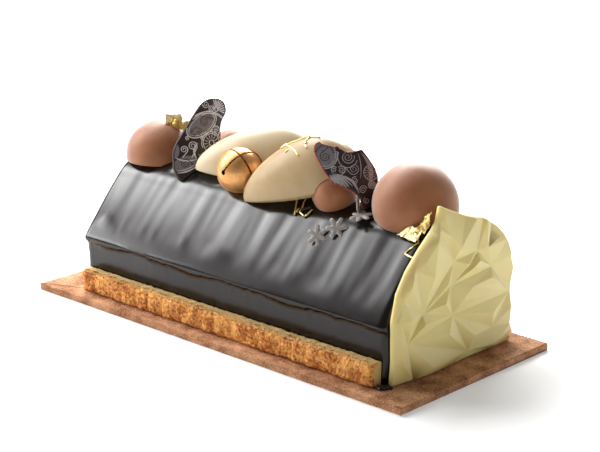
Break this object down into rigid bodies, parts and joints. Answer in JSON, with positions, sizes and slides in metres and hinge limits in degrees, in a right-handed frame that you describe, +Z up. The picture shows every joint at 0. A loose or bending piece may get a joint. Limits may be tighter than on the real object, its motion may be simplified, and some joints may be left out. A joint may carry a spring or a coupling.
{
  "type": "yule log cake",
  "caption": "Glazed yule log cake on a thin biscuit sheet, with sponge strips, a faceted chocolate end plate, round and egg-shaped toppings, a bell, shards and sugar snowflakes.",
  "frame": {"origin": "middle of the biscuit's underside, where the cake stands", "axes": "+Z up; +X along the log towards the white chocolate end plate; -Y towards the dressed long side"},
  "size_m": [0.24, 0.1068, 0.0996],
  "materials": {
    "biscuit": "baked cocoa biscuit, fine open grain",
    "glaze": "dark chocolate mirror glaze over mousse",
    "sponge": "baked almond sponge, brown crust and pale crumb",
    "white_chocolate": "moulded white chocolate, satin",
    "milk_velvet": "milk chocolate velvet coating",
    "vanilla": "pale vanilla mousse, satin",
    "gilt": "gold lustre on moulded chocolate",
    "printed_chocolate": "dark chocolate with a silver transfer print",
    "silver_sugar": "silvered sugar paste"
  },
  "bodies": {
    "root": {"biscuit": "biscuit", "log": "glaze", "sponge_front": "sponge", "sponge_back": "sponge", "end_plate": "white_chocolate", "milk_dome_left": "milk_velvet", "milk_sphere": "milk_velvet", "milk_dome_small": "milk_velvet", "milk_dome_back": "milk_velvet", "vanilla_egg_back": "vanilla", "vanilla_egg_front": "vanilla", "bell": "gilt", "shard_left": "printed_chocolate", "shard_right": "printed_chocolate", "snowflake_1": "silver_sugar", "snowflake_2": "silver_sugar", "snowflake_3": "silver_sugar", "snowflake_4": "silver_sugar"}
  },
  "joints": []
}
